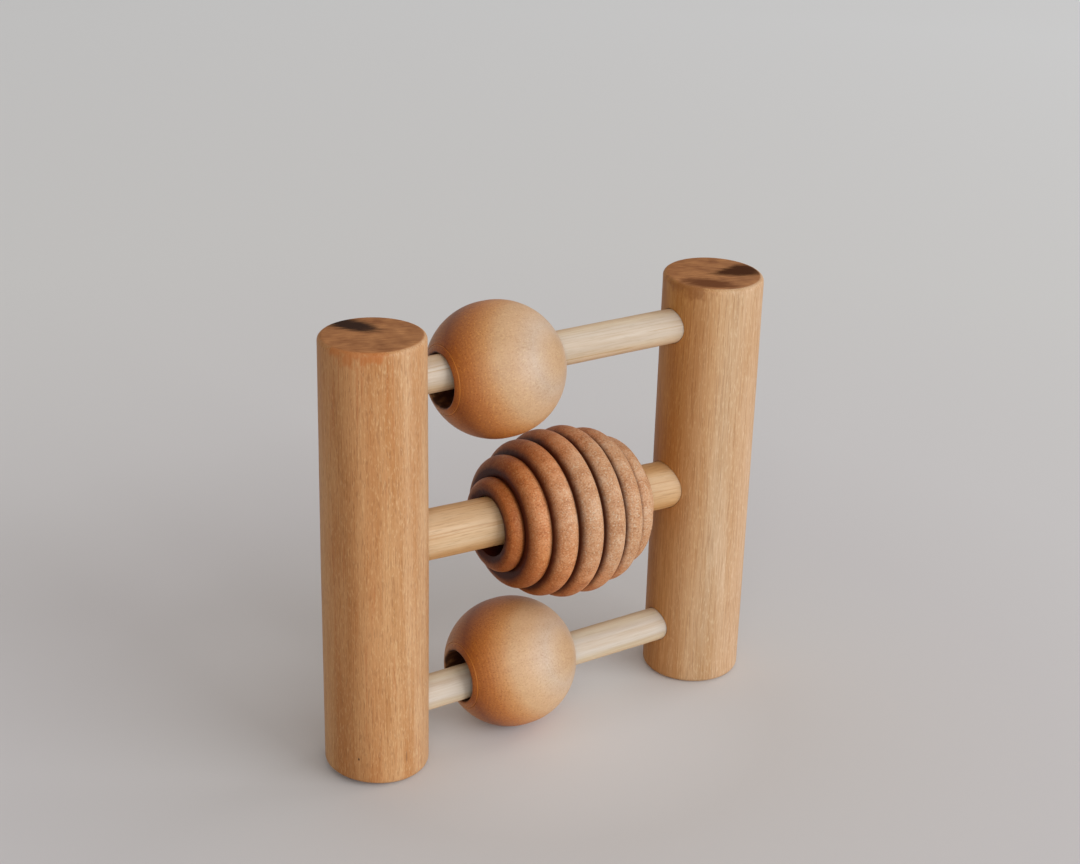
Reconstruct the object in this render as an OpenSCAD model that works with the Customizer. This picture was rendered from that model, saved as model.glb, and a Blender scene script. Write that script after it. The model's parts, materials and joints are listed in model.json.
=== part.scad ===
// Wooden bead rattle: two upright posts joined by three dowels, each dowel carrying one loose bead.
// Millimetres, +Z up. The origin is on the floor, midway between the posts.
// +X runs along the dowels towards the right post and +Y runs through the rattle to its back.

/* [Posts] */
// outer diameter of a post
post_diameter = 25; // [24:0.5:27]
// height of a post from the floor to its top face
post_height = 109.6; // [106:0.2:116]
// distance between the two post axes
post_spacing = 94.8; // [90:0.2:104]
// radius of the rounding on a post's top edge
post_top_round = 1.2; // [0.6:0.1:3]
// radius of the rounding on a post's bottom edge
post_foot_round = 1.4; // [0.4:0.1:2]

/* [Dowels] */
// diameter of the top and the bottom dowel
thin_dowel_diameter = 8.6; // [7.8:0.1:9.2]
// diameter of the middle dowel
thick_dowel_diameter = 12.1; // [11.2:0.1:12.7]
// distance from the top of a post down to the top dowel's axis
top_dowel_drop = 12.5; // [9.6:0.1:13.6]
// height of the middle dowel's axis at the left post
middle_height_left = 57.5; // [56:0.1:58]
// height of the middle dowel's axis at the right post, where its socket was drilled a little lower
middle_height_right = 53.9; // [53.4:0.1:57]
// depth of a glue socket, measured along the dowel from the post's inner side
socket_depth = 14; // [10:0.5:18]
// gap between a dowel and the wall or floor of its socket, filled by glue
glue_gap = 0.05; // [0.03:0.01:0.1]

/* [Ball beads] */
// largest diameter of a ball bead
ball_diameter = 32.3; // [31:0.1:32.6]
// width of the straight band around a ball's middle, which leaves it a little longer than it is wide
ball_band = 0.9; // [0.2:0.1:2]
// diameter of a ball bead's bore
ball_bore_diameter = 12.8; // [12.2:0.1:13.8]
// distance from the bore's edge to the turned ring line around it
ring_line_offset = 1.9; // [1.2:0.1:3]
// radius of the tool that cut the turned ring line
ring_line_radius = 0.3; // [0.15:0.05:0.5]

/* [Ribbed bead] */
// largest diameter of the ribbed bead
ribbed_diameter = 41.6; // [39:0.1:42]
// length of the ribbed bead along its bore
ribbed_length = 42.4; // [40:0.1:44]
// radius of the rounding on a rib
rib_radius = 3.4; // [3.3:0.05:3.6]
// radius of the rounding on the smallest rib at each end
end_rib_radius = 2.7; // [2.4:0.05:3]
// diameter of the ribbed bead's bore
ribbed_bore_diameter = 14.8; // [14:0.1:16]

/* [Bead places] */
// gap left between a bead's bore and the dowel where the bead rests on it
rest_gap = 0.15; // [0.1:0.01:0.25]
// gap left between the bottom ball bead and the floor
floor_gap = 0.1; // [0.05:0.01:0.3]
// place of the top ball bead along its dowel, from the dowel's middle
top_bead_place = -15.3; // [-17:0.1:17]
// place of the ribbed bead along its dowel, from the dowel's middle
ribbed_bead_place = 4.1; // [-9:0.1:9]
// place of the bottom ball bead along its dowel, from the dowel's middle
bottom_bead_place = -9.7; // [-17:0.1:17]

/* [Hidden] */
$fn = 96;
post_radius = post_diameter / 2;
half_spacing = post_spacing / 2;
thin_radius = thin_dowel_diameter / 2;
thick_radius = thick_dowel_diameter / 2;
// a socket ends this far from the post's axis, on the outer side where it is positive
socket_reach = socket_depth - post_radius;

ball_radius = ball_diameter / 2;
ball_bore_radius = ball_bore_diameter / 2;
ring_line_distance = ball_bore_radius + ring_line_offset;
ring_line_place = ball_band / 2 + sqrt(pow(ball_radius, 2) - pow(ring_line_distance, 2));

// a ball hangs below its dowel, or stands on the floor above it, by this much
ball_offset = ball_bore_radius - thin_radius - rest_gap;

// the top dowel is set out from the post tops, and the bottom one by the ball that stands on the floor
top_dowel_height = post_height - top_dowel_drop;
bottom_dowel_height = ball_radius + floor_gap - ball_offset;

// ribs are set out in pairs from the bead's middle, at even angles along an oval path
rib_pairs = 4;
rib_angle = 17;
end_rib_angle = (rib_pairs - 0.5) * rib_angle;
rib_path_radius = (ribbed_diameter / 2 - rib_radius) / cos(rib_angle / 2);
rib_path_length = (ribbed_length / 2 - end_rib_radius) / sin(end_rib_angle);
ribbed_bore_radius = ribbed_bore_diameter / 2;
ribbed_offset = ribbed_bore_radius - thick_radius - rest_gap;
// longer than any bead, so that a bore passes right through
bore_cut = 2 * ribbed_length;

// places its children along a dowel: their +Z runs along the dowel to the right, their +X points down
module along_dowel(left_height, right_height) {
    translate([0, 0, (left_height + right_height) / 2])
        rotate([0, 90 + atan2(left_height - right_height, post_spacing), 0])
            children();
}

module along_top_dowel() {
    along_dowel(top_dowel_height, top_dowel_height)
        children();
}

module along_middle_dowel() {
    along_dowel(middle_height_left, middle_height_right)
        children();
}

module along_bottom_dowel() {
    along_dowel(bottom_dowel_height, bottom_dowel_height)
        children();
}

// a rod lying on a dowel's axis; extra lengthens each end and widens the side
module rod(radius, extra) {
    half_length = half_spacing + socket_reach + extra;
    translate([0, 0, -half_length])
        cylinder(r = radius + extra, h = 2 * half_length);
}

// half of a post's outline, from its axis to its rounded edges
module post_outline() {
    square([post_radius - post_foot_round, post_height / 2]);
    translate([0, post_foot_round])
        square([post_radius, post_height - post_foot_round - post_top_round]);
    translate([0, post_height / 2])
        square([post_radius - post_top_round, post_height / 2]);
    translate([post_radius - post_foot_round, post_foot_round])
        circle(r = post_foot_round);
    translate([post_radius - post_top_round, post_height - post_top_round])
        circle(r = post_top_round);
}

// a post with the three blind sockets; side is -1 for the left post and 1 for the right
module post(side) {
    difference() {
        translate([side * half_spacing, 0, 0])
            rotate_extrude()
                post_outline();
        along_top_dowel()
            rod(thin_radius, glue_gap);
        along_middle_dowel()
            rod(thick_radius, glue_gap);
        along_bottom_dowel()
            rod(thin_radius, glue_gap);
    }
}

// half of a ball bead's outline, open at the bore, with a turned ring line near each end
module ball_outline() {
    difference() {
        union() {
            for (side = [-1, 1]) {
                translate([0, side * ball_band / 2])
                    circle(r = ball_radius);
            }
            translate([0, -ball_band / 2])
                square([ball_radius, ball_band]);
        }
        translate([ball_bore_radius - bore_cut, -bore_cut / 2])
            square([bore_cut, bore_cut]);
        for (side = [-1, 1]) {
            translate([ring_line_distance, side * ring_line_place])
                circle(r = ring_line_radius);
        }
    }
}

// half of the ribbed bead's outline: a row of round ribs over a core that fills in between them
module ribbed_outline() {
    difference() {
        union() {
            for (side = [-1, 1]) {
                for (rib = [1 : rib_pairs - 1]) {
                    rib_at(side * (rib - 0.5) * rib_angle)
                        circle(r = rib_radius);
                }
                rib_at(side * end_rib_angle)
                    circle(r = end_rib_radius);
            }
            polygon([for (rib = [-rib_pairs : rib_pairs + 1]) core_point(rib)]);
        }
        translate([ribbed_bore_radius - bore_cut, -bore_cut / 2])
            square([bore_cut, bore_cut]);
    }
}

// sets its children at an angle along the oval path of the ribs
module rib_at(angle) {
    translate([rib_path_radius * cos(angle), rib_path_length * sin(angle)])
        children();
}

// corners of the ribbed bead's core: the rib centres, and one point on the axis at each end
function core_point(rib) =
    rib == -rib_pairs ? [0, -rib_path_length * sin(end_rib_angle)] :
    rib == rib_pairs + 1 ? [0, rib_path_length * sin(end_rib_angle)] :
    [rib_path_radius * cos((rib - 0.5) * rib_angle), rib_path_length * sin((rib - 0.5) * rib_angle)];

module left_post() {
    color("#c08a57")
        post(-1);
}

module right_post() {
    color("#c08a57")
        post(1);
}

module top_dowel() {
    color("#e2c79c")
        along_top_dowel()
            rod(thin_radius, 0);
}

module middle_dowel() {
    color("#d9b077")
        along_middle_dowel()
            rod(thick_radius, 0);
}

module bottom_dowel() {
    color("#e2c79c")
        along_bottom_dowel()
            rod(thin_radius, 0);
}

module top_ball_bead() {
    color("#c58f5c")
        along_top_dowel()
            translate([ball_offset, 0, top_bead_place])
                rotate_extrude()
                    ball_outline();
}

module ribbed_bead() {
    color("#a2633c")
        along_middle_dowel()
            translate([ribbed_offset, 0, ribbed_bead_place])
                rotate_extrude()
                    ribbed_outline();
}

module bottom_ball_bead() {
    color("#c58f5c")
        along_bottom_dowel()
            translate([-ball_offset, 0, bottom_bead_place])
                rotate_extrude()
                    ball_outline();
}

left_post();
right_post();
top_dowel();
middle_dowel();
bottom_dowel();
top_ball_bead();
ribbed_bead();
bottom_ball_bead();
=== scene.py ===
import json
import math

import bmesh
import bpy
from mathutils import Euler, Matrix, Vector, noise


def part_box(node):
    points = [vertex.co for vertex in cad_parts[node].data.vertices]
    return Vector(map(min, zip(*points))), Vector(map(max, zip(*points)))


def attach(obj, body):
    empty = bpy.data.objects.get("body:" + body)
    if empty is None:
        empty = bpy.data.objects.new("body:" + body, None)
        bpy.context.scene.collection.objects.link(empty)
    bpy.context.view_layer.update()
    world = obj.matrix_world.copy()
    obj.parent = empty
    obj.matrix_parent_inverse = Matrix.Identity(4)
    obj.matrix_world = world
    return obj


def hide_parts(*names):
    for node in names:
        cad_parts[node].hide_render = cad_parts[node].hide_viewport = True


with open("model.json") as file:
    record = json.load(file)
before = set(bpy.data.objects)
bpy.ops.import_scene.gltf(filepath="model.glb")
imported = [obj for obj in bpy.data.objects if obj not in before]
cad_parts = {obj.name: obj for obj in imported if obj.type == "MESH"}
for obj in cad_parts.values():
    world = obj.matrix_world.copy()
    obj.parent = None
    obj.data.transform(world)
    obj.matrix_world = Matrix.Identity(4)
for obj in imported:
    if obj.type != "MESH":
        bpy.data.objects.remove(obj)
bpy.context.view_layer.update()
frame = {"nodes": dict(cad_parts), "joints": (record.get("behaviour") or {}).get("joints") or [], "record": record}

mm = 0.001
weld = 0.002 * mm  # points closer than this become one
near = 0.01 * mm  # heights closer than this count as the same
record = frame["record"]
bodyOf = {node: body for body, nodes in record["behaviour"]["bodies"].items() for node in nodes}
slideAxis = {joint["child"]: Vector(joint["axis"]) for joint in frame["joints"]}
print("frame loaded:", ", ".join(sorted(frame["nodes"])))


# Small helpers

def fromHex(code):
    # an sRGB colour as the linear values that nodes and lamps take
    linear = []
    for start in (1, 3, 5):
        value = int(code[start:start + 2], 16) / 255
        linear.append(value / 12.92 if value <= 0.04045 else ((value + 0.055) / 1.055) ** 2.4)
    return (*linear, 1.0)


def addNode(tree, kind, inputs=None, stops=(), **settings):
    # inputs are values or sockets to link, stops are the places and colours along a ramp
    node = tree.nodes.new(kind)
    for name, value in settings.items():
        setattr(node, name, value)
    for socket, value in (inputs or {}).items():
        if isinstance(value, bpy.types.NodeSocket):
            tree.links.new(value, node.inputs[socket])
        else:
            node.inputs[socket].default_value = value
    if stops:
        steps = node.color_ramp.elements
        while len(steps) < len(stops):
            steps.new(0.5)
        for step, (position, colour) in zip(steps, stops):
            step.position = position
            step.color = fromHex(colour)
    return node


def middleOf(node):
    low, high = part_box(node)
    return (low + high) / 2


def sizeOf(node):
    low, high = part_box(node)
    return high - low


def layAlong(axis):
    # the turn that lays an upright piece along an axis
    return Vector((0, 0, 1)).rotation_difference(axis)


def linkPiece(bm, name, material, node):
    mesh = bpy.data.meshes.new(name)
    bm.to_mesh(mesh)
    bm.free()
    mesh.materials.append(material)
    piece = bpy.data.objects.new(name, mesh)
    bpy.context.scene.collection.objects.link(piece)
    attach(piece, bodyOf[node])
    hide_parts(node)
    return piece


def roundFaces(bm):
    # the end faces of a bar, the only ones with more than four corners
    return [face for face in bm.faces if len(face.verts) > 4]


def closeSkin(bm):
    bmesh.ops.remove_doubles(bm, verts=bm.verts, dist=weld)
    bmesh.ops.recalc_face_normals(bm, faces=bm.faces)


def smoothSkin(bm, sharpFrom=math.radians(40)):
    for face in bm.faces:
        face.smooth = True
    for edge in bm.edges:
        edge.smooth = edge.calc_face_angle(0) < sharpFrom


def sandByHand(bm, depth, size, seed):
    # sanding leaves faint hollows: each point moves inwards, never out of the turned shape
    bm.normal_update()
    shift = Vector((seed, 2 * seed, 3 * seed))
    for vert in bm.verts:
        hollow = 0.5 + 0.5 * noise.noise(vert.co / size + shift)
        vert.co -= vert.normal * depth * hollow


# Wood

board = {  # what every wood here shares
    "bend": (0.04, 0.04, 0.012),  # waves to a millimetre: the grain wanders over 25 mm across, 80 mm along
    "period": math.tau / 20,  # a wave texture of scale 1 repeats every 2 pi / 20 of a unit
    "rings": {"Distortion": 1.5, "Detail Scale": 0.6},
    "toolLines": {"Distortion": 1.2, "Detail Scale": 0.25},
    "grainDetail": 3.0, "grainRoughness": 0.55,
    "grainSpan": (0.3, 0.7),  # the values that a noise seldom leaves
    "toneStops": (0.1, 0.5, 0.9),
    "fadeSpan": (0.5, 0.8),  # from side on to the window to nearly facing it
}


def drawnNoise(tree, grain, size, seed=0.0, detail=2.0, roughness=0.5):
    # a noise drawn out along the grain: size is a patch's width and length in millimetres
    width, length = size
    drawn = addNode(tree, "ShaderNodeMapping", {
        "Vector": grain, "Location": (seed, seed, 0.0), "Scale": (1 / width, 1 / width, 1 / length)})
    drawn = addNode(tree, "ShaderNodeTexNoise", {
        "Vector": drawn.outputs[0], "Scale": 1.0, "Detail": detail, "Roughness": roughness})
    return drawn.outputs["Fac"]


def growGrain(tree, look, grain):
    # one tone made of growth rings, fibres and broad patches, along a grain that wanders a little
    waver = addNode(tree, "ShaderNodeMapping", {"Vector": grain, "Scale": board["bend"]})
    waver = addNode(tree, "ShaderNodeTexNoise", {"Vector": waver.outputs[0], "Scale": 1.0})
    bent = addNode(tree, "ShaderNodeVectorMath", {
        0: waver.outputs["Color"], 1: (look["waver"], look["waver"], 0.0), 2: grain},
        operation="MULTIPLY_ADD").outputs[0]
    rings = addNode(tree, "ShaderNodeTexWave", {
        "Vector": bent, "Scale": board["period"] / look["ringWidth"], **board["rings"]},
        wave_type="RINGS", rings_direction="Z")
    tone = addNode(tree, "ShaderNodeMath", {
        0: rings.outputs["Fac"], 1: look["ringShare"]}, operation="MULTIPLY").outputs[0]
    least, most = board["grainSpan"]
    drawn = {}
    for part in ("fibre", "mottle"):
        width, length, share = look[part]
        patches = drawnNoise(tree, bent, (width, length), 0.0, board["grainDetail"], board["grainRoughness"])
        drawn[part] = addNode(tree, "ShaderNodeMapRange", {
            "Value": patches, "From Min": least, "From Max": most}).outputs[0]
        tone = addNode(tree, "ShaderNodeMath", {
            0: drawn[part], 1: share, 2: tone}, operation="MULTIPLY_ADD").outputs[0]
    tones = list(zip(board["toneStops"], (look["deep"], look["mid"], look["pale"])))
    colour = addNode(tree, "ShaderNodeValToRGB", {"Fac": tone}, tones).outputs[0]
    return bent, drawn["fibre"], colour


def growFlecks(tree, look, grain, facing, colour, height):
    # streaks and dashes of other colours over the grain, some of them open pores that dip
    if "fade" in look:  # flecks are painted stronger on the side away from the window and fainter on the side towards it, where the light washes them out
        fade = addNode(tree, "ShaderNodeMapRange", {
            "Value": facing, "From Min": board["fadeSpan"][0], "From Max": board["fadeSpan"][1],
            "To Min": look["fade"][0], "To Max": look["fade"][1]}).outputs[0]
    for layer in look["layers"]:
        share = layer["share"]
        if "fade" in look:
            share = addNode(tree, "ShaderNodeMath", {0: fade, 1: share}, operation="MULTIPLY").outputs[0]
        flecks = addNode(tree, "ShaderNodeMapRange", {
            "Value": drawnNoise(tree, grain, layer["size"], layer["seed"]),
            "From Min": layer["span"][0], "From Max": layer["span"][1], "To Max": share}).outputs[0]
        colour = addNode(tree, "ShaderNodeMix", {
            "Factor": flecks, "A": colour, "B": fromHex(layer["tint"])}, data_type="RGBA").outputs[2]
        if "dip" in layer:
            height = addNode(tree, "ShaderNodeMath", {
                0: flecks, 1: -layer["dip"], 2: height}, operation="MULTIPLY_ADD").outputs[0]
    return colour, height


def cutLines(tree, turned, grain, middle, colour, height):
    # tool lines round the bore, deeper towards the ends where the cut was slower, and a painted highlight along
    # the scribed ring
    lines = addNode(tree, "ShaderNodeTexWave", {
        "Vector": grain, "Scale": board["period"] / turned["spacing"], **board["toolLines"]},
        wave_type="BANDS", bands_direction="Z")
    along = addNode(tree, "ShaderNodeVectorMath", {0: grain, 1: middle}, operation="ADD")
    along = addNode(tree, "ShaderNodeSeparateXYZ", {0: along.outputs[0]})
    fromMiddle = addNode(tree, "ShaderNodeMath", {0: along.outputs["Z"]}, operation="ABSOLUTE").outputs[0]
    share = addNode(tree, "ShaderNodeMapRange", {
        "Value": fromMiddle, "From Min": turned["ends"][0], "From Max": turned["ends"][1],
        "To Min": turned["shares"][0], "To Max": turned["shares"][1]}, interpolation_type="SMOOTHSTEP")
    cut = addNode(tree, "ShaderNodeMath", {
        0: lines.outputs["Fac"], 1: share.outputs[0]}, operation="MULTIPLY").outputs[0]
    colour = addNode(tree, "ShaderNodeMix", {
        "Factor": cut, "A": colour, "B": fromHex(turned["colour"])}, data_type="RGBA").outputs[2]
    height = addNode(tree, "ShaderNodeMath", {
        0: cut, 1: -turned["dip"], 2: height}, operation="MULTIPLY_ADD").outputs[0]
    ring = addNode(tree, "ShaderNodeMath", {  # painted highlight along the scribed ring
        0: fromMiddle, 1: turned["scribed"][0], 2: turned["scribed"][1]}, operation="COMPARE").outputs[0]
    colour = addNode(tree, "ShaderNodeMix", {
        "Factor": ring, "A": colour, "B": fromHex(turned["scribedHighlight"])}, data_type="RGBA").outputs[2]
    return colour, height


def makeWood(name, look, node, pith, turn):
    # a board whose pith lies beside the piece, with its grain turned to run along it
    material = bpy.data.materials.new(name)
    material.use_nodes = True
    tree = material.node_tree
    tree.nodes.clear()
    place = addNode(tree, "ShaderNodeTexCoord").outputs["Object"]
    grain = addNode(tree, "ShaderNodeMapping", {  # from here on one unit is a millimetre and Z is the grain
        "Vector": place, "Location": middleOf(node) + Vector(pith) * mm, "Rotation": turn,
        "Scale": (mm, mm, mm)}, vector_type="TEXTURE").outputs[0]
    around = addNode(tree, "ShaderNodeMapping", {  # from the piece's middle, in halves of its depth
        "Vector": place, "Location": middleOf(node), "Scale": sizeOf(node).yyy / 2}, vector_type="TEXTURE")
    facing = addNode(tree, "ShaderNodeVectorMath", {
        0: around.outputs[0], 1: look["window"]}, operation="DOT_PRODUCT")
    facing = addNode(tree, "ShaderNodeMapRange", {
        "Value": facing.outputs["Value"], "From Min": -1.0, "From Max": 1.0}).outputs[0]
    bent, fibre, colour = growGrain(tree, look, grain)
    colour, height = growFlecks(tree, look, bent, facing, colour, fibre)
    if "turned" in look:
        middle = turn.to_matrix().inverted() @ Vector(pith)
        colour, height = cutLines(tree, look["turned"], grain, middle, colour, height)
    if "paintedShade" in look:  # painted shade in the grooves and inside the bores
        shaded = addNode(tree, "ShaderNodeAttribute", attribute_name="paintedShade")
        colour = addNode(tree, "ShaderNodeMix", {
            "Factor": shaded.outputs["Fac"], "A": colour, "B": fromHex(look["paintedShade"])},
            data_type="RGBA").outputs[2]
    # painted shade on the side away from the window, painted light and painted highlight on the side that faces it
    paintedLight = addNode(tree, "ShaderNodeValToRGB", {"Fac": facing}, look["paintedLight"]).outputs[0]
    colour = addNode(tree, "ShaderNodeMix", {
        "Factor": 1.0, "A": colour, "B": paintedLight}, data_type="RGBA", blend_type="MULTIPLY").outputs[2]
    roughness = addNode(tree, "ShaderNodeMapRange", {
        "Value": fibre, "To Min": look["roughness"][1], "To Max": look["roughness"][0]}).outputs[0]
    relief = addNode(tree, "ShaderNodeBump", {
        "Height": height, "Strength": 1.0, "Distance": look["relief"] * mm})
    surface = addNode(tree, "ShaderNodeBsdfPrincipled", {
        "Base Color": colour, "Roughness": roughness, "IOR": look["ior"], "Normal": relief.outputs[0],
        **look.get("coat", {})})
    addNode(tree, "ShaderNodeOutputMaterial", {"Surface": surface.outputs[0]})
    return {"material": material, "tree": tree, "place": place, "colour": colour, "roughness": roughness,
            "surface": surface}


# A fibre or a mottle is given by its width and length in millimetres and its share of the tone
# Fibres and dashes are drawn about twice as wide as they are, so that they show
# the painted light ramp runs from painted shade on the side that faces away from the window to painted light and
# highlight on the side that faces it

# Oiled alder round stock: warm tan, fine upright fibres, a few orange streaks and a soft satin sheen
alder = {
    "deep": "#b27f50", "mid": "#c4966c", "pale": "#cfa67f",
    "fibre": (0.25, 14.0, 0.4), "mottle": (5.0, 45.0, 0.55),
    "ringWidth": 2.4, "ringShare": 0.06, "waver": 2.0,
    "layers": [
        {"size": (4.5, 70.0), "span": (0.48, 0.7), "share": 0.6, "tint": "#b07238", "seed": 3},
        {"size": (0.8, 32.0), "span": (0.61, 0.7), "share": 0.36, "tint": "#ae642a", "seed": 11},
        {"size": (0.3, 2.5), "span": (0.52, 0.68), "share": 0.36, "tint": "#86552f", "seed": 5, "dip": 0.7},
        {"size": (0.32, 1.4), "span": (0.54, 0.68), "share": 0.32, "tint": "#e0c29c", "seed": 17}],
    "roughness": (0.46, 0.6), "ior": 1.42, "relief": 0.014,
    "window": (0.77, -0.64, 0.03),
    # painted shade away from the window, painted light towards it
    "paintedLight": [(0.05, "#f5e9ca"), (0.33, "#e6d3b2"), (0.55, "#fdedd2"), (0.75, "#fffaea"),
                (0.97, "#fcffff")],
}
# Paler sapwood of the same alder, with fine even lines; its ramp paints it browner on the side away from the
# window, as painted shade
paleAlder = dict(
    alder, deep="#ba8b5d", mid="#c9a07a", pale="#d4b08e", window=(0.77, -0.64, -0.035),
    layers=[
        {"size": (4.0, 80.0), "span": (0.5, 0.7), "share": 0.35, "tint": "#b98450", "seed": 3},
        {"size": (0.3, 9.0), "span": (0.5, 0.68), "share": 0.4, "tint": "#976437", "seed": 5, "dip": 1.0},
        {"size": (0.32, 1.8), "span": (0.54, 0.68), "share": 0.34, "tint": "#e6caa8", "seed": 17}],
    paintedLight=[(0.1, "#e1bf7a"), (0.28, "#ecd2a5"), (0.5, "#fff9e7"), (0.68, "#f9ffff"), (0.97, "#fafdff")])
# Sanded birch: almost white, with a few tan lines that run the whole length of the dowel
birch = {
    "deep": "#c2a384", "mid": "#d1b79f", "pale": "#dbc7b2",
    "fibre": (0.5, 20.0, 0.35), "mottle": (2.5, 40.0, 0.5),
    "ringWidth": 2.8, "ringShare": 0.1, "waver": 3.0,
    "layers": [
        {"size": (0.8, 120.0), "span": (0.59, 0.66), "share": 0.55, "tint": "#b4895a", "seed": 2},
        {"size": (0.25, 4.0), "span": (0.56, 0.7), "share": 0.25, "tint": "#a48663", "seed": 7, "dip": 1.0}],
    "roughness": (0.5, 0.62), "ior": 1.45, "relief": 0.008,
    "window": (0.0, -0.9, 0.44),
    # painted light and a faint painted highlight on the side towards the window
    "paintedLight": [(0.6, "#fff4dc"), (0.75, "#fffcee"), (0.85, "#f9fef7"), (0.95, "#eff9ff")],
}
# A cleaner length of the same birch, whiter and with fainter lines
whiteBirch = dict(
    birch, deep="#d1b89c", mid="#dbc8b2", pale="#e3d3c1",
    layers=[
        {"size": (1.2, 120.0), "span": (0.6, 0.7), "share": 0.3, "tint": "#c4a27a", "seed": 6},
        {"size": (0.25, 4.0), "span": (0.56, 0.7), "share": 0.2, "tint": "#b0946f", "seed": 7, "dip": 1.0}],
    paintedLight=[(0.6, "#fff4dc"), (0.75, "#fffcee"), (0.85, "#f6faf3"), (0.95, "#e9eff6")])
# Oiled birch: the same stock as the thin dowels, yellower for the oil on it
oiledBirch = dict(
    birch, deep="#bf9367", mid="#d0a982", pale="#dab997",
    layers=[
        {"size": (0.9, 120.0), "span": (0.58, 0.68), "share": 0.5, "tint": "#b27d46", "seed": 2},
        {"size": (0.25, 4.0), "span": (0.55, 0.7), "share": 0.35, "tint": "#966b40", "seed": 7, "dip": 1.0}],
    paintedLight=[(0.6, "#fff0c8"), (0.75, "#fff7dc"), (0.97, "#f8ffff")])
# Oiled maple, turned and rubbed smooth: even honey brown, a fine fleck all over and a broad soft shine, partly
# from a thin coat and partly a painted highlight
maple = {
    "deep": "#c09b7f", "mid": "#c9a58a", "pale": "#cfac91", "fade": (1.9, 0.7),
    "fibre": (0.45, 0.8, 0.4), "mottle": (4.0, 7.0, 0.5),
    "ringWidth": 3.5, "ringShare": 0.1, "waver": 2.0,
    "layers": [
        {"size": (0.38, 0.45), "span": (0.54, 0.68), "share": 0.42, "tint": "#a36c36", "seed": 4, "dip": 0.2},
        {"size": (0.38, 0.45), "span": (0.54, 0.68), "share": 0.5, "tint": "#e4c8a2", "seed": 9}],
    "turned": {"colour": "#b79073", "spacing": 0.65, "ends": (6.0, 14.0), "shares": (0.05, 0.42), "dip": 1.5,
               "scribed": (14.3, 0.13), "scribedHighlight": "#f4d8b4"},
    "paintedShade": "#452614", "roughness": (0.46, 0.56), "ior": 1.45, "relief": 0.01,
    "coat": {"Coat Weight": 0.25, "Coat Roughness": 0.4},
    "window": (0.5, -0.78, 0.37),
    # painted shade on the side away from the window, a whitish painted highlight where the window's reflection
    # falls
    "paintedLight": [(0.04, "#fceac5"), (0.3, "#ce9b59"), (0.4, "#ad712c"), (0.5, "#d4943f"), (0.6, "#edb469"),
                (0.7, "#fcdaa4"), (0.78, "#fff6da"), (0.86, "#fcf8e5"), (0.95, "#eff9fc"), (1.0, "#ecead7")],
}
# The lower ball is cut from paler maple
paleMaple = dict(maple, deep="#c7a184", mid="#d0ac90", pale="#d5b397")
# Oiled pear, turned in ribs and left a little furry: red brown with a fine pale speckle on the crests
pear = {
    "deep": "#ad7048", "mid": "#ca8f66", "pale": "#d8a886",
    "fibre": (0.4, 0.6, 0.45), "mottle": (3.5, 5.0, 0.5),
    "ringWidth": 3.0, "ringShare": 0.1, "waver": 2.0,
    "layers": [
        {"size": (0.42, 0.5), "span": (0.54, 0.66), "share": 0.4, "tint": "#84451f", "seed": 4, "dip": 0.4},
        {"size": (0.4, 0.45), "span": (0.56, 0.66), "share": 0.5, "tint": "#e0c6aa", "seed": 9}],
    "paintedShade": "#50230e", "roughness": (0.46, 0.58), "ior": 1.34, "relief": 0.02,
    "window": (0.4, -0.83, 0.38),
    # painted shade away from the window, painted light and highlight towards it
    "paintedLight": [(0.04, "#fcecd4"), (0.36, "#bd935f"), (0.55, "#dfb580"), (0.65, "#f4d8b0"), (0.75, "#fceed8"),
                (0.85, "#f7ffff"), (0.95, "#f1fdff")],
}


# Posts

post = {
    "sides": 160, "loops": 60, "capRings": 5,
    "topRound": 1.2, "footRound": 1.4, "roundSteps": 6,
    "liftSide": (-0.835, 0.55), "liftCurve": 1.3,  # on which side a foot is lifted, and how it rises
    "socketGap": 0.12,  # open glue line left round a dowel
    "hollow": 0.05, "hollowSize": 9.0,
}
# Marks and runs are set out in millimetres from the middle of the top, nicks by their height on the side
leftPost = {
    "node": "left_post", "wood": alder, "pith": (7.0, 9.0, 0.0), "seed": 1.7,
    "topDrop": 0.2, "topTilt": 0.0, "topScale": 0.977,
    "footLift": 1.5,  # the foot was sanded hollow on its outer side
    "marks": [
        {"middle": (-1.2, 7.6), "half": (7.6, 3.6), "taper": 0.1, "bearing": 120, "share": 1.0,
         "colour": "#341f14"}],
    "run": {"bearing": -138, "spread": 0.82, "reach": 2.5, "colour": "#b46222"},
    "nicks": [
        {"bearing": -138, "height": 7.4, "size": (0.3, 0.3, 0.45), "share": 0.85},
        {"bearing": -84, "height": 7.0, "size": (0.25, 0.25, 2.2), "share": 0.4}],
}
rightPost = {
    "node": "right_post", "wood": paleAlder, "pith": (-6.0, 10.0, 0.0), "seed": 5.3,
    "topDrop": 0.8, "topTilt": 2.0, "topScale": 0.995,
    "footLift": 0.0,
    "marks": [
        {"middle": (6.4, -1.6), "half": (7.8, 3.9), "taper": -0.6, "bearing": 172, "share": 1.0,
         "colour": "#472306"},
        {"middle": (-5.8, -5.4), "half": (6.7, 3.2), "taper": 0.0, "bearing": 138, "share": 0.95,
         "colour": "#6b3d1f"}],
    "run": {"bearing": -163, "spread": 0.9, "reach": 3.4, "colour": "#8a5022"},
    "nicks": [],
}
oilRun = {
    "share": 0.55, "edge": (-0.8, 1.4),
    "flank": (-0.25, 0.1), "away": -1.5,  # how a run ends to its sides, and how far short it stays elsewhere
    "drip": (0.45, 0.45, 0.35), "dripDetail": 3.0, "dripReach": 10.0, "dripLow": -5.2,
}
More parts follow.
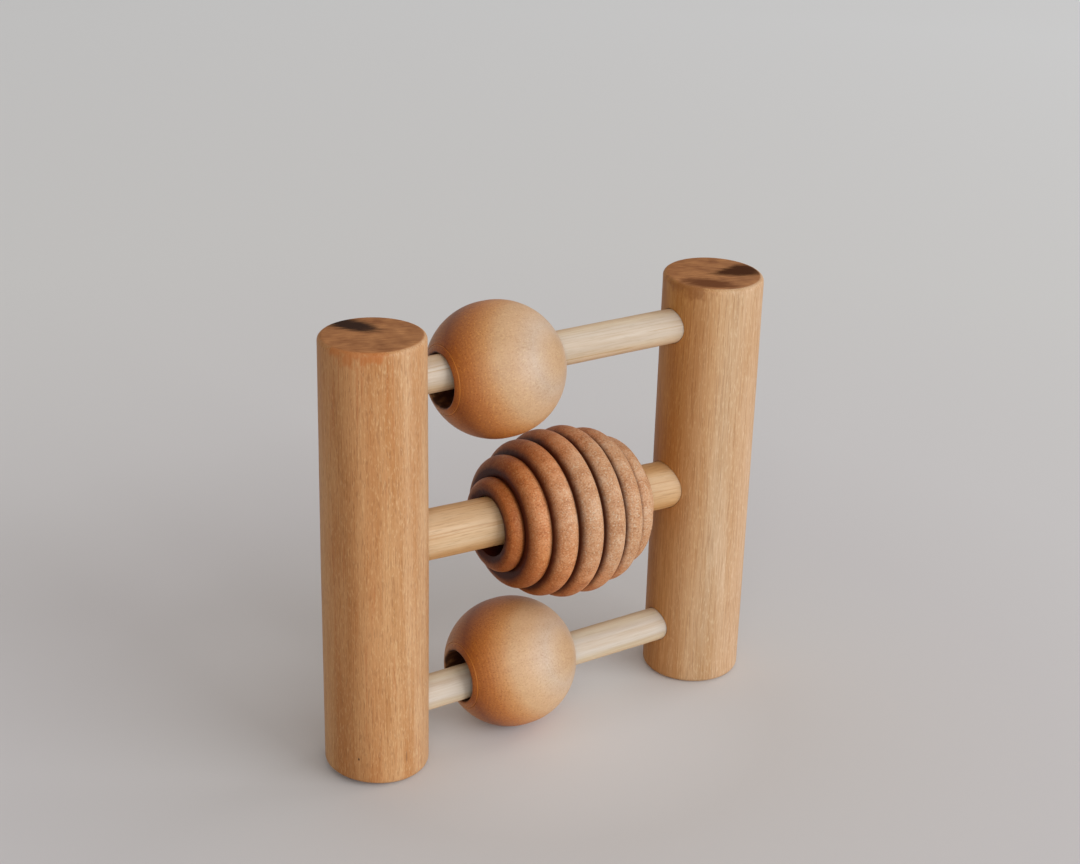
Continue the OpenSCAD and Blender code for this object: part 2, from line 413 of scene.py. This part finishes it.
sawnEnd = {
    "colour": "#bf8656", "line": "#7f4e30", "share": 0.94,
    "roughness": 0.95, "sheen": (0.5, 0.2),  # sheen of the oiled sides and of the dry end
    "rim": (11.8, 11.2), "depth": (-4.0, -3.0),  # where the end begins, from the axis and from the top
    "sawBearing": -22, "sawLine": (5.0, 0.27, 10.0), "sawDetail": 3.0, "sawRoughness": 0.6,
    "cloud": 0.22, "lineShare": 1.6, "lineSpan": (0.95, 1.65),
    "feather": 1.6, "markEdge": (1.95, 1.45),
}
nickMark = {"colour": "#3c2212", "radius": 12.45, "edge": (1.0, 0.5)}


def paintRun(tree, colour, fromTop, run, radius):
    # oil that ran over the rim on one side, and down from there in drips
    bearing = math.radians(run["bearing"])
    side = addNode(tree, "ShaderNodeVectorMath", {
        0: fromTop, 1: (math.cos(bearing) / radius, math.sin(bearing) / radius, 0.0)},
        operation="DOT_PRODUCT")
    side = addNode(tree, "ShaderNodeMapRange", {
        "Value": side.outputs["Value"], "From Min": run["spread"] + oilRun["flank"][0],
        "From Max": run["spread"] + oilRun["flank"][1], "To Min": oilRun["away"], "To Max": run["reach"]},
        interpolation_type="SMOOTHSTEP")
    drips = addNode(tree, "ShaderNodeMapping", {"Vector": fromTop, "Scale": oilRun["drip"]})
    drips = addNode(tree, "ShaderNodeTexNoise", {
        "Vector": drips.outputs[0], "Scale": 1.0, "Detail": oilRun["dripDetail"]})
    drips = addNode(tree, "ShaderNodeMath", {
        0: drips.outputs["Fac"], 1: oilRun["dripReach"], 2: oilRun["dripLow"]}, operation="MULTIPLY_ADD")
    depth = addNode(tree, "ShaderNodeSeparateXYZ", {0: fromTop})
    reach = addNode(tree, "ShaderNodeMath", {0: side.outputs[0], 1: drips.outputs[0]}, operation="ADD")
    reach = addNode(tree, "ShaderNodeMath", {0: reach.outputs[0], 1: depth.outputs["Z"]}, operation="ADD")
    soak = addNode(tree, "ShaderNodeMapRange", {
        "Value": reach.outputs[0], "From Min": oilRun["edge"][0], "From Max": oilRun["edge"][1],
        "To Max": oilRun["share"]}, interpolation_type="SMOOTHSTEP")
    return addNode(tree, "ShaderNodeMix", {
        "Factor": soak.outputs[0], "A": colour, "B": fromHex(run["colour"])}, data_type="RGBA").outputs[2]


def paintEnd(tree, colour, fromTop, marks):
    # sawn end grain: short lines along the saw's way, and heart marks that feather out along them
    across = addNode(tree, "ShaderNodeVectorMath", {0: fromTop, 1: (1.0, 1.0, 0.0)}, operation="MULTIPLY")
    out = addNode(tree, "ShaderNodeVectorMath", {0: across.outputs[0]}, operation="LENGTH")
    inRim = addNode(tree, "ShaderNodeMapRange", {
        "Value": out.outputs["Value"], "From Min": sawnEnd["rim"][0], "From Max": sawnEnd["rim"][1]},
        interpolation_type="SMOOTHSTEP")
    depth = addNode(tree, "ShaderNodeSeparateXYZ", {0: fromTop})
    onEnd = addNode(tree, "ShaderNodeMapRange", {
        "Value": depth.outputs["Z"], "From Min": sawnEnd["depth"][0], "From Max": sawnEnd["depth"][1],
        "To Max": inRim.outputs[0]}).outputs[0]
    saw = addNode(tree, "ShaderNodeMapping", {
        "Vector": fromTop, "Rotation": (0.0, 0.0, math.radians(sawnEnd["sawBearing"])),
        "Scale": sawnEnd["sawLine"]}, vector_type="TEXTURE")
    saw = addNode(tree, "ShaderNodeTexNoise", {
        "Vector": saw.outputs[0], "Scale": 1.0, "Detail": sawnEnd["sawDetail"],
        "Roughness": sawnEnd["sawRoughness"]}).outputs["Fac"]
    cloud = addNode(tree, "ShaderNodeTexNoise", {"Vector": fromTop, "Scale": sawnEnd["cloud"]})
    lines = addNode(tree, "ShaderNodeMath", {
        0: saw, 1: sawnEnd["lineShare"], 2: cloud.outputs["Fac"]}, operation="MULTIPLY_ADD")
    lines = addNode(tree, "ShaderNodeMapRange", {
        "Value": lines.outputs[0], "From Min": sawnEnd["lineSpan"][0], "From Max": sawnEnd["lineSpan"][1]})
    sawn = addNode(tree, "ShaderNodeMix", {
        "Factor": lines.outputs[0], "A": fromHex(sawnEnd["line"]), "B": fromHex(sawnEnd["colour"])},
        data_type="RGBA")
    share = addNode(tree, "ShaderNodeMath", {0: onEnd, 1: sawnEnd["share"]}, operation="MULTIPLY")
    colour = addNode(tree, "ShaderNodeMix", {
        "Factor": share.outputs[0], "A": colour, "B": sawn.outputs[2]}, data_type="RGBA").outputs[2]
    for mark in marks:
        spot = addNode(tree, "ShaderNodeMapping", {
            "Vector": fromTop, "Location": (*mark["middle"], 0.0),
            "Rotation": (0.0, 0.0, math.radians(mark["bearing"])), "Scale": (*mark["half"], 1.0)},
            vector_type="TEXTURE")
        spot = addNode(tree, "ShaderNodeSeparateXYZ", {0: spot.outputs[0]})
        narrow = addNode(tree, "ShaderNodeMath", {
            0: spot.outputs["X"], 1: mark["taper"], 2: 1.0}, operation="MULTIPLY_ADD")
        narrow = addNode(tree, "ShaderNodeMath", {
            0: spot.outputs["Y"], 1: narrow.outputs[0]}, operation="DIVIDE")
        spot = addNode(tree, "ShaderNodeCombineXYZ", {"X": spot.outputs["X"], "Y": narrow.outputs[0]})
        spot = addNode(tree, "ShaderNodeVectorMath", {0: spot.outputs[0]}, operation="LENGTH")
        edge = addNode(tree, "ShaderNodeMath", {
            0: saw, 1: sawnEnd["feather"], 2: spot.outputs["Value"]}, operation="MULTIPLY_ADD")
        inside = addNode(tree, "ShaderNodeMapRange", {
            "Value": edge.outputs[0], "From Min": sawnEnd["markEdge"][0], "From Max": sawnEnd["markEdge"][1],
            "To Max": mark["share"]})
        inside = addNode(tree, "ShaderNodeMath", {0: inside.outputs[0], 1: onEnd}, operation="MULTIPLY")
        colour = addNode(tree, "ShaderNodeMix", {
            "Factor": inside.outputs[0], "A": colour, "B": fromHex(mark["colour"])},
            data_type="RGBA").outputs[2]
    return onEnd, colour


def paintNicks(tree, colour, place, axis, nicks):
    # small dark marks on the side of a post
    for nick in nicks:
        bearing = math.radians(nick["bearing"])
        out = Vector((math.cos(bearing), math.sin(bearing), 0.0)) * nickMark["radius"]
        spot = addNode(tree, "ShaderNodeMapping", {
            "Vector": place, "Location": axis.xy.to_3d() + (out + Vector((0.0, 0.0, nick["height"]))) * mm,
            "Scale": Vector(nick["size"]) * mm}, vector_type="TEXTURE")
        spot = addNode(tree, "ShaderNodeVectorMath", {0: spot.outputs[0]}, operation="LENGTH")
        spot = addNode(tree, "ShaderNodeMapRange", {
            "Value": spot.outputs["Value"], "From Min": nickMark["edge"][0], "From Max": nickMark["edge"][1],
            "To Max": nick["share"]})
        colour = addNode(tree, "ShaderNodeMix", {
            "Factor": spot.outputs[0], "A": colour, "B": fromHex(nickMark["colour"])},
            data_type="RGBA").outputs[2]
    return colour


def postWood(name, own):
    # the end grain drinks more oil than the sides, so the top is darker, and it stays dull
    axis = middleOf(own["node"])
    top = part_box(own["node"])[1].z
    wood = makeWood(name, own["wood"], own["node"], own["pith"], Euler())
    tree = wood["tree"]
    surface = wood["surface"].inputs
    fromTop = addNode(tree, "ShaderNodeMapping", {  # in millimetres from the middle of the top
        "Vector": wood["place"], "Location": (axis.x, axis.y, top), "Scale": (mm, mm, mm)},
        vector_type="TEXTURE").outputs[0]
    colour = paintRun(tree, wood["colour"], fromTop, own["run"], sizeOf(own["node"]).x / 2 / mm)
    onEnd, colour = paintEnd(tree, colour, fromTop, own["marks"])
    colour = paintNicks(tree, colour, wood["place"], axis, own["nicks"])
    dull = addNode(tree, "ShaderNodeMapRange", {
        "Value": onEnd, "To Min": wood["roughness"], "To Max": sawnEnd["roughness"]})
    sheen = addNode(tree, "ShaderNodeMapRange", {
        "Value": onEnd, "To Min": sawnEnd["sheen"][0], "To Max": sawnEnd["sheen"][1]})
    tree.links.new(colour, surface["Base Color"])
    tree.links.new(dull.outputs[0], surface["Roughness"])
    tree.links.new(sheen.outputs[0], surface["Specular IOR Level"])
    return wood["material"]


def makePost(name, own):
    low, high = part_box(own["node"])
    axis = (low + high) / 2
    radius = (high.x - low.x) / 2
    bm = bmesh.new()
    bmesh.ops.create_cone(bm, cap_ends=True, cap_tris=False, segments=post["sides"],
                          radius1=radius, radius2=radius, depth=high.z - low.z)
    bmesh.ops.translate(bm, vec=axis, verts=bm.verts)
    for level, rounding in ((high.z, post["topRound"]), (low.z, post["footRound"])):
        rim = [edge for edge in bm.edges if all(abs(vert.co.z - level) < near for vert in edge.verts)]
        bmesh.ops.bevel(bm, geom=rim, offset=rounding * mm, segments=post["roundSteps"], profile=0.5,
                        affect="EDGES", material=-1)
    upright = [edge for edge in bm.edges if edge.calc_length() > (high.z - low.z) / 2]
    bmesh.ops.subdivide_edges(bm, edges=upright, cuts=post["loops"], use_grid_fill=True)
    caps = roundFaces(bm)
    for ring in range(post["capRings"]):
        bmesh.ops.inset_individual(bm, faces=caps, thickness=radius / (post["capRings"] + 1))
    bmesh.ops.poke(bm, faces=caps)
    rounded = [vert for vert in bm.verts if vert.co.z > high.z - post["topRound"] * mm - near]
    bmesh.ops.translate(bm, vec=(0, 0, -own["topDrop"] * mm), verts=rounded)
    bmesh.ops.rotate(bm, cent=(axis.x, axis.y, high.z - own["topDrop"] * mm), verts=rounded,
                     matrix=Matrix.Rotation(math.radians(own["topTilt"]), 3, "X"))
    for vert in bm.verts:  # the stock tapers over its upper half
        taper = 1 + (own["topScale"] - 1) * max(0.0, 2 * vert.co.z / high.z - 1)
        vert.co.x = axis.x + (vert.co.x - axis.x) * taper
        vert.co.y = axis.y + (vert.co.y - axis.y) * taper
    footEnd = 2 * post["footRound"] * mm
    for vert in bm.verts:
        if vert.co.z < footEnd:
            outer = 0.5 + (vert.co - axis).xy.dot(post["liftSide"]) / 2 / radius
            vert.co.z += own["footLift"] * mm * outer ** post["liftCurve"] * (1 - vert.co.z / footEnd)
    sandByHand(bm, post["hollow"] * mm, post["hollowSize"] * mm, own["seed"])
    closeSkin(bm)
    smoothSkin(bm)
    return linkPiece(bm, name, postWood("oiledAlder." + name, own), own["node"])


def cutSockets(piece, cutters):
    for cutter in cutters:
        cut = piece.modifiers.new("socket", "BOOLEAN")
        cut.object = cutter
        cut.operation = "DIFFERENCE"
        cut.solver = "EXACT"
    drilled = bpy.data.meshes.new_from_object(piece.evaluated_get(bpy.context.evaluated_depsgraph_get()))
    piece.modifiers.clear()
    drilled.name = piece.name
    piece.data = drilled
    bm = bmesh.new()
    bm.from_mesh(drilled)
    smoothSkin(bm)
    bm.to_mesh(drilled)
    bm.free()


# Dowels

dowel = {
    "sides": 72, "loops": 70, "endBevel": 0.5, "bevelSteps": 3, "capRings": 2, "capStep": 1.2,
    "hollow": 0.04, "hollowSize": 5.0,
}
dowels = {
    "topDowel": {"node": "top_dowel", "bead": "top_bead", "wood": birch, "finish": "sandedBirch.top",
                 "pith": (0, 4, 9), "seed": 2.1},
    "middleDowel": {"node": "middle_dowel", "bead": "middle_bead", "wood": oiledBirch,
                    "finish": "oiledBirch.middle", "pith": (0, 8, -7), "seed": 3.7},
    "bottomDowel": {"node": "bottom_dowel", "bead": "bottom_bead", "wood": whiteBirch,
                    "finish": "sandedBirch.bottom", "pith": (0, -6, 8), "seed": 6.4},
}


def makeRod(own, extra):
    # round bar along a dowel's own line, with extra added all round
    axis = slideAxis[own["bead"]]
    size = sizeOf(own["node"])
    radius = size.y / 2 + extra
    length = (size.x - size.y * abs(axis.z)) / axis.x + 2 * extra
    bm = bmesh.new()
    bmesh.ops.create_cone(bm, cap_ends=True, cap_tris=False, segments=dowel["sides"],
                          radius1=radius, radius2=radius, depth=length)
    lay = Matrix.Translation(middleOf(own["node"])) @ layAlong(axis).to_matrix().to_4x4()
    bmesh.ops.transform(bm, matrix=lay, verts=bm.verts)
    return bm


def makeDowel(name, own):
    bm = makeRod(own, 0.0)
    rims = [edge for face in roundFaces(bm) for edge in face.edges]
    bmesh.ops.bevel(bm, geom=rims, offset=dowel["endBevel"] * mm, segments=dowel["bevelSteps"], profile=0.5,
                    affect="EDGES", material=-1)
    along = [edge for edge in bm.edges if edge.calc_length() > sizeOf(own["node"]).x / 2]
    bmesh.ops.subdivide_edges(bm, edges=along, cuts=dowel["loops"], use_grid_fill=True)
    caps = roundFaces(bm)
    for ring in range(dowel["capRings"]):
        bmesh.ops.inset_individual(bm, faces=caps, thickness=dowel["capStep"] * mm)
    bmesh.ops.poke(bm, faces=caps)
    sandByHand(bm, dowel["hollow"] * mm, dowel["hollowSize"] * mm, own["seed"])
    closeSkin(bm)
    smoothSkin(bm)
    turn = layAlong(slideAxis[own["bead"]]).to_euler()
    wood = makeWood(own["finish"], own["wood"], own["node"], own["pith"], turn)
    return linkPiece(bm, name, wood["material"], own["node"])


def makeCutter(own):
    # drill for the sockets of one dowel, wider by the open glue line
    mesh = bpy.data.meshes.new("cutter")
    bm = makeRod(own, post["socketGap"] * mm)
    bm.to_mesh(mesh)
    bm.free()
    cutter = bpy.data.objects.new("cutter", mesh)
    bpy.context.scene.collection.objects.link(cutter)
    return cutter


# Beads

turning = {
    "boreCuts": 12,
    "ragged": 0.3, "raggedScale": 0.9,  # how far the edge of the painted shade wanders, and in how short waves
}
ball = {
    "boreDiameter": 12.8, "band": 0.9, "ringOffset": 1.9, "ringRadius": 0.18,
    "boreRound": 0.45, "boreShade": 0.5,
    "arcSteps": 34, "ringSteps": 6, "rimSteps": 4, "boreSteps": 5, "turns": 144,
    "hollow": 0.03, "hollowSize": 7.0,
}
balls = {
    "topBallBead": {"node": "top_ball_bead", "wood": maple, "finish": "oiledMaple.top",
                    "pith": (14, -30, 6), "seed": 4.2},
    "bottomBallBead": {"node": "bottom_ball_bead", "wood": paleMaple, "finish": "oiledMaple.bottom",
                       "pith": (12, -28, -8), "seed": 8.8},
}
ribbedBead = {
    "node": "ribbed_bead", "wood": pear, "finish": "oiledPear", "pith": (0, 24, 12), "seed": 7.1,
    "diameter": 41.6, "length": 42.4, "boreDiameter": 14.8, "pairs": 4, "ribAngle": 17.0,
    "ribRadius": 3.4, "endRadius": 2.7, "arcSteps": 14, "turns": 168, "hollow": 0.05, "hollowSize": 5.0,
    "boreShade": 0.4, "grooveShadeShare": 0.86,
    # cosine of the turn from a rib's crest at which the painted shade starts, and at which it is full
    "paintedShade": {"right": (0.6, 0.4), "left": (0.62, 0.4), "leftEnd": (1.15, 0.8)},
}


def turnPoint(bm, vert, centre, angle, steps):
    # carries a point round a centre in the XZ plane and leaves an arc of edges behind it
    made = bmesh.ops.spin(bm, geom=[vert], cent=(centre[0], 0, centre[1]), axis=(0, -1, 0), angle=angle,
                          steps=steps)
    return next(item for item in made["geom_last"] if isinstance(item, bmesh.types.BMVert))


def drawPoint(bm, vert, x, z):
    made = bmesh.ops.extrude_vert_indiv(bm, verts=[vert])
    made["verts"][0].co = (x, 0, z)
    return made["verts"][0]


def turnBead(bm, wall, steps):
    # half an outline is drawn: divide its bore wall, mirror it and turn it round the bore
    bmesh.ops.subdivide_edges(bm, edges=[wall], cuts=turning["boreCuts"])
    bmesh.ops.mirror(bm, geom=bm.verts[:] + bm.edges[:], axis="Z", merge_dist=weld)
    bmesh.ops.spin(bm, geom=bm.verts[:] + bm.edges[:], cent=(0, 0, 0), axis=(0, 0, 1), angle=math.tau,
                   steps=steps, use_merge=True)
    closeSkin(bm)


def paintShade(bm, rule):
    # how much painted shade lies at each point: rule takes the distances out from the bore's axis and along it
    paintedShade = bm.verts.layers.float.new("paintedShade")
    for vert in bm.verts:
        ragged = turning["ragged"] * noise.noise(vert.co * turning["raggedScale"])
        vert[paintedShade] = min(1.0, max(0.0, rule(vert.co.xy.length + ragged, vert.co.z)))


def finishBead(bm, name, own, shape):
    # from millimetres on the lathe to its place on the dowel
    lay = layAlong(slideAxis[bodyOf[own["node"]]])
    bmesh.ops.scale(bm, vec=(mm, mm, mm), verts=bm.verts)
    bmesh.ops.transform(bm, matrix=Matrix.Translation(middleOf(own["node"])) @ lay.to_matrix().to_4x4(),
                        verts=bm.verts)
    sandByHand(bm, shape["hollow"] * mm, shape["hollowSize"] * mm, own["seed"])
    smoothSkin(bm)
    wood = makeWood(own["finish"], own["wood"], own["node"], own["pith"], lay.to_euler())
    return linkPiece(bm, name, wood["material"], own["node"])


def makeBall(name, own):
    radius = sizeOf(own["node"]).y / 2 / mm
    bore = ball["boreDiameter"] / 2
    half = ball["band"] / 2
    soft = ball["boreRound"]
    ringAt = math.acos((bore + ball["ringOffset"]) / radius)
    ringHalf = 2 * math.asin(ball["ringRadius"] / 2 / radius)
    ringMiddle = (radius * math.cos(ringAt), half + radius * math.sin(ringAt))
    softAt = math.acos((bore + soft) / (radius - soft))
    softMiddle = (bore + soft, half + (radius - soft) * math.sin(softAt))
    bm = bmesh.new()
    point = bm.verts.new((radius, 0, 0))
    point = drawPoint(bm, point, radius, half)
    point = turnPoint(bm, point, (0, half), ringAt - ringHalf, ball["arcSteps"])
    point = turnPoint(bm, point, ringMiddle, ringHalf - math.pi, ball["ringSteps"])  # the ring line dips in
    point = turnPoint(bm, point, (0, half), softAt - ringAt - ringHalf, ball["rimSteps"])
    point = turnPoint(bm, point, softMiddle, math.pi - softAt, ball["boreSteps"])
    end = drawPoint(bm, point, bore, 0)
    turnBead(bm, end.link_edges[0], ball["turns"])
    # painted shade inside the bore, with the bore's darker end grain
    paintShade(bm, lambda out, along: 1 + (bore - out) / ball["boreShade"])
    return finishBead(bm, name, own, ball)


def valley(first, second):
    # outer point where two neighbouring ribs meet
    (x0, z0, r0), (x1, z1, r1) = first, second
    gap = math.hypot(x1 - x0, z1 - z0)
    along = (gap * gap + r0 * r0 - r1 * r1) / 2 / gap
    out = math.sqrt(r0 * r0 - along * along)
    ux, uz = (x1 - x0) / gap, (z1 - z0) / gap
    return x0 + along * ux + out * uz, z0 + along * uz - out * ux


def makeRibbed(name, own):
    # the ribs' middles lie on an ellipse; wide and long are its half axes
    bore = own["boreDiameter"] / 2
    endAngle = math.radians((own["pairs"] - 0.5) * own["ribAngle"])
    wide = (own["diameter"] / 2 - own["ribRadius"]) / math.cos(math.radians(own["ribAngle"] / 2))
    long = (own["length"] / 2 - own["endRadius"]) / math.sin(endAngle)
    ribs = []
    for rib in range(own["pairs"]):
        angle = math.radians((rib + 0.5) * own["ribAngle"])
        last = rib == own["pairs"] - 1
        ribs.append((wide * math.cos(angle), long * math.sin(angle),
                     own["endRadius"] if last else own["ribRadius"]))
    mirrored = (ribs[0][0], -ribs[0][1], ribs[0][2])
    stops = [valley(first, second) for first, second in zip([mirrored] + ribs[:-1], ribs)]
    x, z, r = ribs[-1]
    stops.append((bore, z + math.sqrt(r * r - (x - bore) ** 2)))

    def grooveShade(out, along):
        # painted shade in the grooves, deeper on the left flank of each rib, which faces away from the window, and
        # deepest on the left ribs
        x, z, r = min(ribs, key=lambda rib: math.hypot(out - rib[0], abs(along) - rib[1]) - rib[2])
        z = math.copysign(z, along)
        upright = Vector((x / wide ** 2, z / long ** 2)).normalized()
        offset = Vector((out - x, along - z)).normalized()
        low = 0.5 - along / own["length"]
        flank = Vector(own["paintedShade"]["left"]).lerp(Vector(own["paintedShade"]["leftEnd"]), low * low)
        start, full = own["paintedShade"]["right"] if upright.cross(offset) > 0 else flank
        return own["grooveShadeShare"] * (start - upright.dot(offset)) / (start - full)

    bm = bmesh.new()
    point = bm.verts.new((stops[0][0], 0, stops[0][1]))
    for (x, z, r), start, stop in zip(ribs, stops[:-1], stops[1:]):
        sweep = math.atan2(stop[1] - z, stop[0] - x) - math.atan2(start[1] - z, start[0] - x)
        point = turnPoint(bm, point, (x, z), sweep, own["arcSteps"])
    end = drawPoint(bm, point, bore, 0)
    turnBead(bm, end.link_edges[0], own["turns"])
    # painted shade in the bore and in the grooves
    paintShade(bm, lambda out, along: max(1 + (bore - out) / own["boreShade"], grooveShade(out, along)))
    return finishBead(bm, name, own, own)


# Making the rattle

for name, own in dowels.items():
    makeDowel(name, own)
print("dowels made")

posts = [makePost("leftPost", leftPost), makePost("rightPost", rightPost)]
cutters = [makeCutter(own) for own in dowels.values()]
for piece in posts:
    cutSockets(piece, cutters)
for cutter in cutters:
    bpy.data.objects.remove(cutter)
print("posts turned and drilled")

for name, own in balls.items():
    makeBall(name, own)
makeRibbed("ribbedBead", ribbedBead)
print("beads turned")


# Studio

studio = {  # lengths in metres, as for the lamps
    "floorSize": 40.0, "floorCells": 8, "floorRoughness": 0.9,
    "floorShading": [  # painted light right under the rattle, painted shade round it, lighter further out, by how far from the rattle
        (0.02, "#dfdfdf"), (0.06, "#d0cecd"), (0.13, "#d2d0d1"), (0.2, "#d7d6d7"), (0.4, "#dcdddd"),
        (1.0, "#e3e6e8")],
    "lampDistance": 3.6, "skyColour": "#fff8f2", "skyPower": 0.36,
}
# a low window to the right of the camera, a weaker light beside the camera, one far round on the right,
# and light off a pale ceiling behind the rattle
lamps = {
    "window": {"bearing": -59, "rise": 19, "size": (2.9, 2.2), "power": 88.0, "colour": "#f9fcff"},
    "fill": {"bearing": -114, "rise": 24, "size": (2.9, 2.9), "power": 38.0, "colour": "#fbfcff"},
    "side": {"bearing": -5, "rise": 35, "size": (2.2, 2.2), "power": 21.0, "colour": "#fbfcff"},
    "ceiling": {"bearing": 65, "rise": 45, "size": (6.1, 6.1), "power": 20.0, "colour": "#fff4ea"},
}
# the photo's own view: lengths in millimetres, turns in degrees
view = {
    "place": (-227.29, -341.05, 248.60), "yaw": 33.386, "pitch": -22.826, "roll": 1.483,
    "lens": 61.784, "sensor": 36.0, "clipStart": 10.0,
}


def makeFloor():
    bm = bmesh.new()
    bmesh.ops.create_grid(bm, x_segments=studio["floorCells"], y_segments=studio["floorCells"],
                          size=studio["floorSize"] / 2)
    mesh = bpy.data.meshes.new("floor")
    bm.to_mesh(mesh)
    bm.free()
    floor = bpy.data.objects.new("floor", mesh)
    bpy.context.scene.collection.objects.link(floor)
    # Seamless paper: matt and pale, with painted light just under the rattle, painted shade round it and lighter
    # further out
    paper = bpy.data.materials.new("seamlessPaper")
    paper.use_nodes = True
    tree = paper.node_tree
    tree.nodes.clear()
    place = addNode(tree, "ShaderNodeTexCoord")
    far = addNode(tree, "ShaderNodeVectorMath", {0: place.outputs["Object"]}, operation="LENGTH")
    colour = addNode(tree, "ShaderNodeValToRGB", {"Fac": far.outputs["Value"]}, studio["floorShading"])
    surface = addNode(tree, "ShaderNodeBsdfPrincipled", {
        "Base Color": colour.outputs[0], "Roughness": studio["floorRoughness"]})
    addNode(tree, "ShaderNodeOutputMaterial", {"Surface": surface.outputs[0]})
    mesh.materials.append(paper)


def makeLight():
    for name, row in lamps.items():
        lamp = bpy.data.lights.new(name, "AREA")
        lamp.shape = "RECTANGLE"
        lamp.size, lamp.size_y = row["size"]
        lamp.energy = row["power"]
        lamp.color = fromHex(row["colour"])[:3]
        panel = bpy.data.objects.new(name, lamp)
        bearing, rise = math.radians(row["bearing"]), math.radians(row["rise"])
        panel.location = Vector((math.cos(bearing) * math.cos(rise), math.sin(bearing) * math.cos(rise),
                                 math.sin(rise))) * studio["lampDistance"]
        panel.rotation_euler = (-panel.location).to_track_quat("-Z", "Y").to_euler()
        bpy.context.scene.collection.objects.link(panel)
    world = bpy.data.worlds.new("studio")
    bpy.context.scene.world = world
    world.use_nodes = True
    tree = world.node_tree
    tree.nodes.clear()
    sky = addNode(tree, "ShaderNodeBackground", {
        "Color": fromHex(studio["skyColour"]), "Strength": studio["skyPower"]})
    addNode(tree, "ShaderNodeOutputWorld", {"Surface": sky.outputs[0]})


def makeCamera():
    lens = bpy.data.cameras.new("camera")
    lens.sensor_fit = "HORIZONTAL"
    lens.sensor_width = view["sensor"]
    lens.lens = view["lens"]
    lens.clip_start = view["clipStart"] * mm
    camera = bpy.data.objects.new("camera", lens)
    camera.matrix_world = (Matrix.Translation(Vector(view["place"]) * mm)
                           @ Matrix.Rotation(math.radians(-view["yaw"]), 4, "Z")
                           @ Matrix.Rotation(math.radians(90 + view["pitch"]), 4, "X")
                           @ Matrix.Rotation(math.radians(view["roll"]), 4, "Z"))
    bpy.context.scene.collection.objects.link(camera)
    bpy.context.scene.camera = camera


makeFloor()
makeLight()
makeCamera()
bpy.context.scene.view_settings.view_transform = "Standard"
print("studio set")
